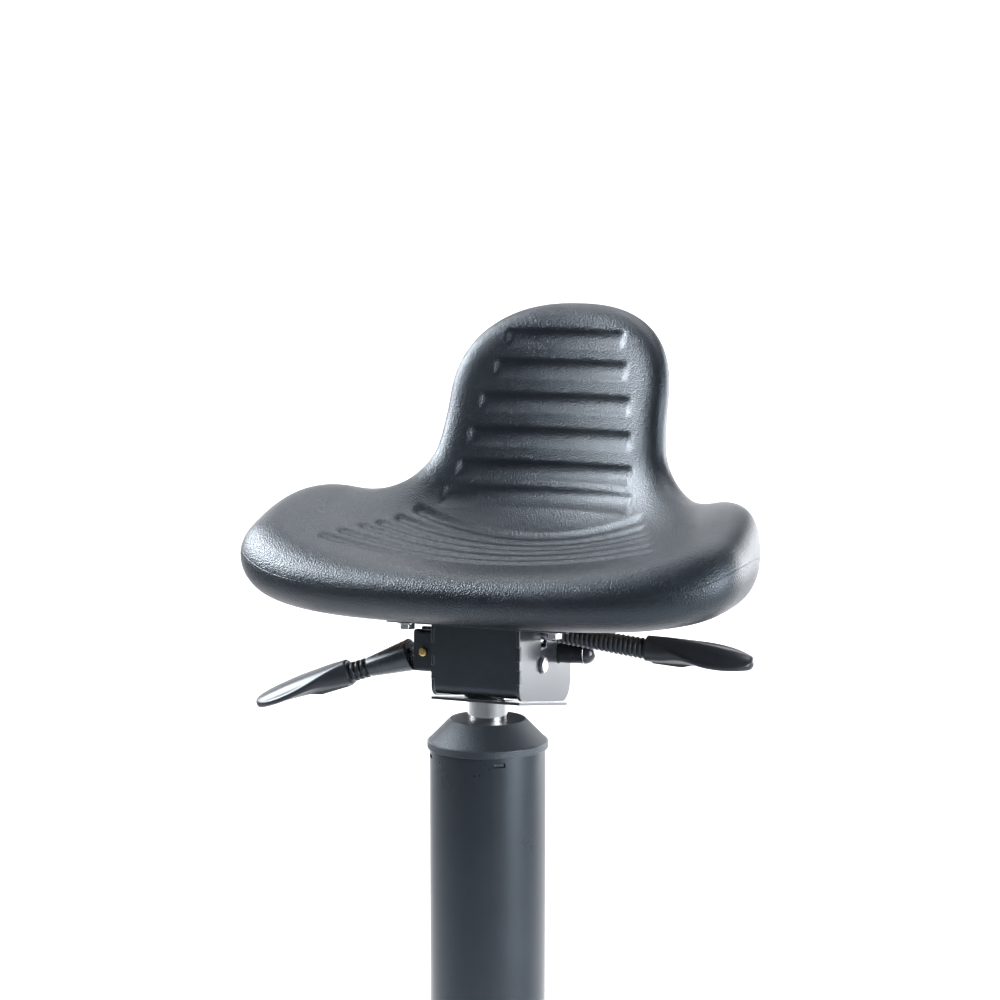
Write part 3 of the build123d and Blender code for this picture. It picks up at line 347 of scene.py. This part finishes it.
# Height lever: a steel arm on the brass pin, a smooth cone boot over its root and a moulded handle.
# The handle has a ringed neck and a leaf-shaped paddle with a flat upper face, glossy black plastic.
def soft_max(a, b, reach):
    overlap = np.maximum(reach - np.abs(a - b), 0.0) / reach
    return np.maximum(a, b) + overlap * overlap * reach / 4


def soft_min(a, b, reach):
    return -soft_max(-a, -b, reach)


def field_points(field, low, high, step):
    """Points and quads of the surface where the field is zero, one point in each cell that it crosses."""
    counts = [int(math.ceil((b - a) / step)) + 1 for a, b in zip(low, high)]
    axes = [a + step * np.arange(n) for a, n in zip(low, counts)]
    corners = np.stack(np.meshgrid(*axes, indexing="ij"), axis=-1).reshape(-1, 3)
    value = field(corners).reshape(counts)
    inside = value < 0
    cells = [n - 1 for n in counts]
    total = np.zeros(cells + [3])
    hits = np.zeros(cells)
    quads = []
    crossings = []
    for axis in range(3):
        near = [slice(None)] * 3
        far = [slice(None)] * 3
        near[axis], far[axis] = slice(0, -1), slice(1, None)
        a, b = value[tuple(near)], value[tuple(far)]
        crossed = (a < 0) != (b < 0)
        share = np.where(crossed, a / np.where(crossed, a - b, 1.0), 0.0)
        others = [i for i in range(3) if i != axis]
        for i, j in ((0, 0), (0, 1), (1, 0), (1, 1)):
            pick = [slice(None)] * 3
            pick[others[0]] = slice(i, i + cells[others[0]])
            pick[others[1]] = slice(j, j + cells[others[1]])
            on = crossed[tuple(pick)]
            hits += on
            total[..., others[0]] += on * i
            total[..., others[1]] += on * j
            total[..., axis] += share[tuple(pick)]
        leaving = inside[tuple(near)] & ~inside[tuple(far)]
        entering = ~inside[tuple(near)] & inside[tuple(far)]
        crossings.append((axis, leaving, entering))
    used = hits > 0
    index = np.full(cells, -1)
    index[used] = np.arange(used.sum())
    within = total[used] / hits[used][:, None]
    points = np.array(low) + step * (np.stack(np.nonzero(used), axis=-1) + within)
    for axis, leaving, entering in crossings:
        one, two = (axis + 1) % 3, (axis + 2) % 3
        for mask, order in ((leaving, 1), (entering, -1)):
            at = np.stack(np.nonzero(mask), axis=-1)
            ring = []
            for i, j in ((1, 1), (0, 1), (0, 0), (1, 0)):
                cell = at.copy()
                cell[:, one] -= i
                cell[:, two] -= j
                ring.append(index[tuple(cell.T)])
            quads.append(np.stack(ring[::order], axis=-1))
    return points, np.concatenate(quads)


def mesh_from_field(name, field, low, high, step, place=Matrix.Identity(4)):
    """A piece with the field's surface, its points drawn onto the surface in a few rounds."""
    points, quads = field_points(field, low, high, step)
    nudge, rounds, least_square = step * 0.1, 4, 0.05
    for _ in range(rounds):
        slopes = [(field(points + nudge * a) - field(points - nudge * a)) / (2 * nudge) for a in np.eye(3)]
        slope = np.stack(slopes, axis=-1)
        square = np.maximum((slope * slope).sum(axis=1), least_square)
        points = points - np.clip(field(points) / square, -step, step)[:, None] * slope
    mesh = bpy.data.meshes.new(name)
    mesh.from_pydata(points.tolist(), [], quads.tolist())
    mesh.transform(place)
    mesh.update()
    mesh.shade_smooth()
    piece = bpy.data.objects.new(name, mesh)
    bpy.context.scene.collection.objects.link(piece)
    return piece


def lever_place(pivot, droop, side):
    """From a lever's own (along, across, above) to the shared frame; side is -1 for left, 1 for right."""
    along = Vector((side * math.cos(droop), 0, -math.sin(droop)))
    above = Vector((side * math.sin(droop), 0, math.cos(droop)))
    across = above.cross(along)
    turn = Matrix((along, across, above)).transposed().to_4x4()
    return Matrix.Translation(pivot) @ turn


def paddle_field(p, neck_end, length, roll, dip):
    """A spoon: a round bar that thins to the tip, cut flat above and widened there into a leaf."""
    leaf_half, leaf_root, leaf_widest, leaf_thick, leaf_thinning = 0.0150, 0.13, 0.62, 0.0060, 0.0016
    top_height, top_fall, top_crown = 0.0084, 0.0052, 0.0014
    bar_deep, bar_wide, tip_from, tip_least = 0.0083, 0.0082, 0.70, 0.01
    boss_half, boss_below, boss_deep, boss_start, boss_end = 0.0050, 0.0062, 0.0030, 0.0035, 0.46
    along, across, above = p[:, 0], p[:, 1], p[:, 2]
    share = (along - neck_end) / length
    t = np.clip(share, 0.0, 1.0)
    flat_across = across * math.cos(roll) - above * math.sin(roll)
    flat_above = across * math.sin(roll) + above * math.cos(roll)
    top = top_height - top_fall * t - dip * t ** 4 - top_crown * (flat_across / leaf_half) ** 2
    tip = np.maximum(t - tip_from, 0.0) / (1 - tip_from)
    close = np.sqrt(np.maximum(1 - tip ** 2, tip_least))
    deep = (bar_deep - 0.0036 * t ** 1.1) * close
    wide = (bar_wide - 0.0034 * t) * close
    bar = (np.hypot(across / wide, above / deep) - 1) * np.minimum(wide, deep)
    bar = soft_max(bar, flat_above - top, 0.0016)
    widening = np.sin(np.pi / 2 * np.minimum(t / leaf_widest, 1.0)) ** 1.3
    past_widest = np.maximum(t - leaf_widest, 0.0) / (1 - leaf_widest)
    rounding = np.sqrt(np.maximum(1 - past_widest ** 2, 0.0))
    half = leaf_half * (leaf_root + (1 - leaf_root) * widening) * rounding
    leaf = soft_max(np.abs(flat_across) - half, flat_above - top, 0.0024)
    leaf = soft_max(leaf, top - leaf_thick + leaf_thinning * t - flat_above, 0.0040)
    body = soft_min(bar, leaf, 0.0070)
    body = soft_max(body, along - neck_end - length, 0.0030)
    body = soft_max(body, neck_end - 0.0015 - along, 0.0010)
    boss_above = above + boss_below
    boss = soft_max(np.abs(flat_across) - boss_half, np.abs(boss_above) - boss_deep, 0.0012)
    boss = soft_max(boss, share - boss_end - 40 * boss_above, 0.02)
    boss = np.maximum(boss, neck_end + boss_start - along)
    return soft_min(body, boss, 0.0010)


lever_plastic = finish_material(
    "lever_plastic", (0.011, 0.012, 0.015), (0.020, 0.022, 0.026), (0.27, 0.36), 700, 0.00002,
    sharpness=0.3, specular=0.3,
)
boot_plastic = finish_material(
    "boot_plastic", (0.013, 0.015, 0.018), (0.024, 0.027, 0.032), (0.24, 0.32), 1300, 0.00002,
    sharpness=0.35,
)
handle_step = 0.0007
height_pivot = Vector((-0.044, 0.0, 0.445))
height_place = lever_place(height_pivot, droop=math.radians(18.9), side=-1)


def height_handle_field(p):
    neck_radius, neck_start, neck_end = 0.0070, 0.0470, 0.0690
    ring_start, ring_pitch, ring_depth, ring_count = 0.0475, 0.0042, 0.0015, 3.999
    along, across, above = p[:, 0], p[:, 1], p[:, 2]
    rings = np.clip((along - ring_start) / ring_pitch, 0, ring_count)
    ringed = np.maximum(np.sin(2 * np.pi * rings), 0) ** 0.6 * ring_depth
    neck = np.hypot(across, above) - neck_radius + ringed
    neck = np.maximum(neck, np.maximum(neck_start - along, along - neck_end))
    paddle = paddle_field(p, neck_end=0.0640, length=0.0775, roll=math.radians(20), dip=0.0034)
    return soft_min(neck, paddle, 0.0015)


height_handle = mesh_from_field(
    "height_lever_grip",
    height_handle_field,
    low=(0.0455, -0.019, -0.0125),
    high=(0.1435, 0.019, 0.0135),
    step=handle_step,
    place=height_place,
)
height_handle.data.materials.append(lever_plastic)
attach(height_handle, "height_lever")
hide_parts("height_lever_handle")
dress("height_lever_arm", zinc)
soften("height_lever_boot", "height_lever_cone", 0.0007, boot_plastic, None)

# Tilt lever: a steel rod from the cam in the box out to the right, under the seat's edge.
# Its handle is one moulding, a long corrugated neck like a hose and a leaf-shaped paddle at the end.
tilt_pivot = Vector((0.017, 0.0235, 0.4575))
tilt_place = lever_place(tilt_pivot, droop=math.radians(4.0), side=1)


def tilt_handle_field(p):
    neck_start, neck_run, neck_end = 0.022, 0.070, 0.0960
    root_radius, widening, root_rise = 0.0053, 0.0010, 0.0026
    wave_pitch, wave_height = 0.0035, 0.0012
    along, across, above = p[:, 0], p[:, 1], p[:, 2]
    share = np.clip((along - neck_start) / neck_run, 0.0, 1.0)
    radius = np.hypot(across, above - root_rise * (1 - share))
    wave = np.abs(np.sin(np.pi * (along - neck_start) / wave_pitch))
    neck = radius - root_radius - widening * share - wave_height * wave ** 0.8
    neck = np.maximum(neck, np.maximum(neck_start - along, along - neck_end))
    paddle = paddle_field(p, neck_end=0.0920, length=0.0740, roll=math.radians(-20), dip=0.0012)
    return soft_min(neck, paddle, 0.0012)


tilt_handle = mesh_from_field(
    "tilt_lever_grip",
    tilt_handle_field,
    low=(0.0205, -0.019, -0.0125),
    high=(0.1685, 0.019, 0.0135),
    step=handle_step,
    place=tilt_place,
)
tilt_handle.data.materials.append(lever_plastic)
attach(tilt_handle, "tilt_lever")
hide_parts("tilt_lever_handle")
dress("tilt_lever_arm", zinc)

# Seat fixing: four hexagon bolts with washers go up through the top plate into brass inserts.
# The inserts sit in a plywood plate foamed into the seat, and a steel strap stiffens the back.
soften("seat_bolts", "seat_bolt_heads", 0.0006, zinc, None)
soften("bolt_washers", "seat_bolt_washers", 0.0002, zinc, None)
dress("threaded_inserts", brass)
plywood = finish_material("plywood", (0.42, 0.28, 0.16), (0.60, 0.43, 0.26), (0.55, 0.75), 240, 0.00015)
dress("insert_plate", plywood)
dress("back_stiffener", black_steel)

# Seat: one moulding of soft polyurethane foam with a tough integral skin, dished pan and low back in one.
# It is foamed round the insert plate in a two-part mould, which leaves the grooves and the parting seam.
# The form is one smooth field: pan and back run together, and the grooves are pressed into the upper faces.
cover_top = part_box("cone_cap")[1].z
seat_half_width = 0.1843
seat_front_y, seat_middle_y, seat_rear_y = -0.0629, -0.0004, 0.1276
seat_bottom = cover_top + 0.0693
back_lean = math.radians(22.4)
plan_power, crown_power = 2.733, 2.363
# Each groove is given by its place (y in the pan, height above the cover in the back) and its half length.
pan_grooves = [
    (-0.0103, 0.1196), (0.0059, 0.1127), (0.0243, 0.1051),
    (0.0392, 0.0981), (0.0565, 0.0905), (0.0735, 0.0830),
]
back_grooves = [
    (0.1411, 0.0703), (0.1590, 0.0650), (0.1825, 0.0604),
    (0.2069, 0.0560), (0.2312, 0.0492), (0.2531, 0.0434),
]
pan_groove_depth, pan_groove_reach = 0.0019, 0.0056
back_groove_depth, back_groove_reach = 0.0021, 0.0076


def pan_top(x, y):
    """Height of the sitting face: dished across, rising to the rear, with wings that fall at the ends."""
    pan_height, pan_rise, dish_half = 0.1089, math.tan(math.radians(4.03)), 0.110
    wing_from, wing_run = 0.1382, 0.0478
    run = y + 0.020
    dish = (0.0103 + 0.121 * run) * (x / dish_half) ** 2
    fall = np.maximum(np.abs(x) - wing_from, 0.0) / wing_run
    drop = (0.0035 + 0.079 * (y - 0.015)) * fall ** 1.82
    dip = 0.092 * np.minimum(run - 0.030, 0.0) ** 2
    return cover_top + pan_height + pan_rise * run + dish - drop - dip


def back_face(x, z):
    """Place of the back's front face, which leans to the rear and is hollow across."""
    face_y, face_height, hollow, hollow_half = 0.1042, 0.1587, 0.0145, 0.080
    lean = (z - cover_top - face_height) * math.tan(back_lean)
    return face_y + lean + hollow * (1 - (x / hollow_half) ** 2)


def pan_field(x, y, z):
    front_roll, roll_loss, roll_run, under_roll, under_rise = 0.0409, 0.0180, 0.050, 0.0324, 0.0160
    across = np.abs(x) / seat_half_width
    depth = np.where(y < seat_middle_y, seat_middle_y - seat_front_y, seat_rear_y - seat_middle_y)
    ahead = np.abs(y - seat_middle_y) / depth
    ring = (across ** plan_power + ahead ** plan_power + 1e-9) ** (1 / plan_power)
    slope = np.hypot(across ** (plan_power - 1) / seat_half_width, ahead ** (plan_power - 1) / depth)
    edge = (ring - 1) * ring ** (plan_power - 1) / np.maximum(slope, 1e-6)
    under = seat_bottom + under_rise * across ** 3.84
    ahead_share = np.clip((seat_middle_y - y) / roll_run, 0.0, 1.0)
    roll = front_roll - roll_loss * ahead_share * (1 - np.minimum(across, 1.0) ** 2)
    return soft_max(soft_max(edge, z - pan_top(x, y), roll), under - z, under_roll)


def back_field(x, y, z):
    shoulder, top = cover_top + 0.2093, cover_top + 0.2831
    half_width, spread, spread_run = 0.0875, 0.0248, 0.1043
    thick, thinning, front_roll, rear_roll = 0.036, 0.008, 0.024, 0.026
    climb = np.clip((shoulder - z) / spread_run, 0.0, 1.2)
    waist = half_width + spread * climb ** 2
    across = np.abs(x) / waist
    crown = np.maximum(z - shoulder, 0.0) / (top - shoulder)
    ring = (across ** crown_power + crown ** crown_power + 1e-9) ** (1 / crown_power)
    slope = np.hypot(across ** (crown_power - 1) / waist, crown ** (crown_power - 1) / (top - shoulder))
    side = (ring - 1) * ring ** (crown_power - 1) / np.maximum(slope, 1e-6)
    front = (back_face(x, z) - y) * math.cos(back_lean)
    height = np.clip((z - cover_top - 0.105) / 0.173, 0.0, 1.0)
    rear = (y - back_face(x, z) - thick + thinning * height) * math.cos(back_lean)
    slab = soft_max(soft_max(side, front, front_roll), rear, rear_roll)
    return np.maximum(slab, seat_bottom + 0.030 - z)


def groove(across, half, miss, reach):
    """How far a cross groove is pressed in, 1 at its middle: round in section, with short blunt ends."""
    end = np.clip((half + 0.0040 - np.abs(across)) / 0.0050, 0.0, 1.0)
    return np.maximum(1 - (miss / reach) ** 2, 0.0) * end * end * (3 - 2 * end)


def seat_field(p):
    join_roll = 0.042
    x, y, z = p[:, 0], p[:, 1], p[:, 2]
    body = soft_min(pan_field(x, y, z), back_field(x, y, z), join_roll)
    press = np.zeros_like(body)
    on_pan, on_back = z > cover_top + 0.095, y < back_face(x, z) + 0.018
    for place, half in pan_grooves:
        cut = groove(x, half, y - place, pan_groove_reach)
        press = np.maximum(press, pan_groove_depth * cut * on_pan)
    for place, half in back_grooves:
        cut = groove(x, half, (z - cover_top - place) / math.cos(back_lean), back_groove_reach)
        press = np.maximum(press, back_groove_depth * cut * on_back)
    return body + press


seat_step = 0.002
seat_moulding = mesh_from_field(
    "seat_moulding",
    seat_field,
    low=(-0.196, -0.072, seat_bottom - 0.010),
    high=(0.196, 0.204, cover_top + 0.290),
    step=seat_step,
)
seat_skin = finish_material(
    "seat_skin", (0.0045, 0.0056, 0.0080), (0.0085, 0.0102, 0.0140), (0.26, 0.37), 900, 0.00030,
    sharpness=0.85,
)
skin = seat_skin.node_tree
skin_place = next(n for n in skin.nodes if n.type == "TEX_COORD")
skin_grain = next(n for n in skin.nodes if n.type == "GROUP")


def skin_math(operation, first, second=None):
    node = skin.nodes.new("ShaderNodeMath")
    node.operation = operation
    for socket, given in zip(node.inputs, (first, second)):
        if given is None:
            continue
        if isinstance(given, (int, float)):
            socket.default_value = given
        else:
            skin.links.new(given, socket)
    return node.outputs[0]


skin_axes = skin.nodes.new("ShaderNodeSeparateXYZ")
skin.links.new(skin_place.outputs["Object"], skin_axes.inputs[0])
skin_facing = skin.nodes.new("ShaderNodeSeparateXYZ")
skin.links.new(skin_place.outputs["Normal"], skin_facing.inputs[0])
# The parting seam shows only on the seat's sides and towards its two ends, where it curves upwards.
seam_base, seam_rise, seam_end = cover_top + 0.095, 0.020, 0.181
seam_half, seam_depth, seam_strength = 0.0005, 0.00035, 0.5
seam_from, seam_fade, side_below = 0.090, 0.050, 0.8
from_middle = skin_math("ABSOLUTE", skin_axes.outputs["X"])
end_share = skin_math("POWER", skin_math("DIVIDE", from_middle, seam_end), 6.0)
seam_height = skin_math("ADD", skin_math("MULTIPLY", end_share, seam_rise), seam_base)
seam_miss = skin_math("ABSOLUTE", skin_math("SUBTRACT", skin_axes.outputs["Z"], seam_height))
seam_off = skin_math("MINIMUM", skin_math("DIVIDE", seam_miss, seam_half), 1.0)
seam_line = skin_math("SUBTRACT", 1.0, seam_off)
near_end = skin_math("DIVIDE", skin_math("SUBTRACT", from_middle, seam_from), seam_fade)
near_end = skin_math("MAXIMUM", skin_math("MINIMUM", near_end, 1.0), 0.0)
on_side = skin_math("LESS_THAN", skin_math("ABSOLUTE", skin_facing.outputs["Z"]), side_below)
seam_bump = skin.nodes.new("ShaderNodeBump")
seam_bump.invert = True
seam_bump.inputs["Strength"].default_value = seam_strength
seam_bump.inputs["Distance"].default_value = seam_depth
seam_shown = skin_math("MULTIPLY", skin_math("MULTIPLY", seam_line, on_side), near_end)
skin.links.new(seam_shown, seam_bump.inputs["Height"])
skin.links.new(skin_grain.outputs["Normal"], seam_bump.inputs["Normal"])
skin.links.new(seam_bump.outputs["Normal"], skin.nodes["Principled BSDF"].inputs["Normal"])
seat_moulding.data.materials.append(seat_skin)
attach(seat_moulding, "seat")
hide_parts("seat_pad")

# Studio: a pale seamless floor that sweeps up behind the stool, and soft lights all round it.
# The camera stands where the photograph was taken from, low and to the right of the front.
view_turn = math.radians(21.5)
floor_reach, floor_bend, bend_radius, wall_top, bend_steps = 14.0, 3.4, 1.0, 5.0, 12
sweep_mesh = bpy.data.meshes.new("studio_floor")
sweep_rows = [(-floor_reach, 0.0), (floor_bend, 0.0)]
for step in range(1, bend_steps + 1):
    turn = math.radians(90 * step / bend_steps)
    sweep_rows.append((floor_bend + bend_radius * math.sin(turn), bend_radius * (1 - math.cos(turn))))
sweep_rows.append((floor_bend + bend_radius, wall_top))
sweep_points = [(x, y, z) for y, z in sweep_rows for x in (-floor_reach, floor_reach)]
sweep_faces = [(2 * i, 2 * i + 1, 2 * i + 3, 2 * i + 2) for i in range(len(sweep_rows) - 1)]
sweep_mesh.from_pydata(sweep_points, [], sweep_faces)
sweep_mesh.shade_smooth()
studio_floor = bpy.data.objects.new("studio_floor", sweep_mesh)
studio_floor.rotation_euler = (0, 0, view_turn)
bpy.context.scene.collection.objects.link(studio_floor)
floor_paint = bpy.data.materials.new("studio_white")
floor_paint.use_nodes = True
floor_shader = floor_paint.node_tree.nodes["Principled BSDF"]
floor_shader.inputs["Base Color"].default_value = (0.82, 0.82, 0.83, 1)
floor_shader.inputs["Roughness"].default_value = 0.9
sweep_mesh.materials.append(floor_paint)

world = bpy.data.worlds.new("studio_air")
bpy.context.scene.world = world
world.use_nodes = True
air = world.node_tree.nodes["Background"]
air.inputs["Color"].default_value = (0.80, 0.90, 1.0, 1)
air.inputs["Strength"].default_value = 0.16


def softbox(name, place, target, width, height, power, spread):
    """A rectangular lamp aimed at the target and hidden from the camera, its spread in degrees."""
    light = bpy.data.lights.new(name, "AREA")
    light.shape = "RECTANGLE"
    light.size = width
    light.size_y = height
    light.energy = power
    light.spread = math.radians(spread)
    lamp = bpy.data.objects.new(name, light)
    lamp.location = place
    lamp.visible_camera = False
    lamp.rotation_euler = (Vector(target) - Vector(place)).to_track_quat("-Z", "Y").to_euler()
    bpy.context.scene.collection.objects.link(lamp)


seat_middle = (0.0, 0.03, 0.52)
back_middle = (0.0, 0.15, 0.62)
softbox("softbox_left", (-1.55, -0.05, 1.55), seat_middle, 1.6, 1.2, 26, 55)
softbox("softbox_right", (1.75, -0.35, 0.75), seat_middle, 1.3, 1.2, 12, 50)
softbox("softbox_right_rear", (1.25, 2.0, 0.70), seat_middle, 1.2, 1.4, 8, 60)
softbox("softbox_front", (-0.7, -1.4, 2.2), back_middle, 1.4, 1.2, 0.3, 60)
softbox("softbox_above", (0.1, 0.9, 2.0), seat_middle, 1.8, 1.2, 1.5, 80)
softbox("backdrop_wash_left", (-2.4, 1.7, 3.2), (-3.0, 3.3, 0.6), 3.0, 0.8, 75, 120)
softbox("backdrop_wash_right", (0.6, 2.9, 3.2), (0.0, 4.5, 0.6), 3.0, 0.8, 75, 120)
softbox("floor_wash", (-0.8, 2.1, 3.2), (-0.8, 2.1, 0.0), 2.6, 2.0, 52, 100)

camera_data = bpy.data.cameras.new("photo_camera")
camera_data.lens = 92.5
camera_data.sensor_width = 36
camera_data.dof.use_dof = False
camera = bpy.data.objects.new("photo_camera", camera_data)
camera.location = (0.6460, -1.6168, 0.762)
camera_pitch = math.radians(83.1)
camera.rotation_euler = (camera_pitch, 0, view_turn)
bpy.context.scene.collection.objects.link(camera)
bpy.context.scene.camera = camera
bpy.context.scene.view_settings.view_transform = "Standard"

bpy.context.view_layer.update()
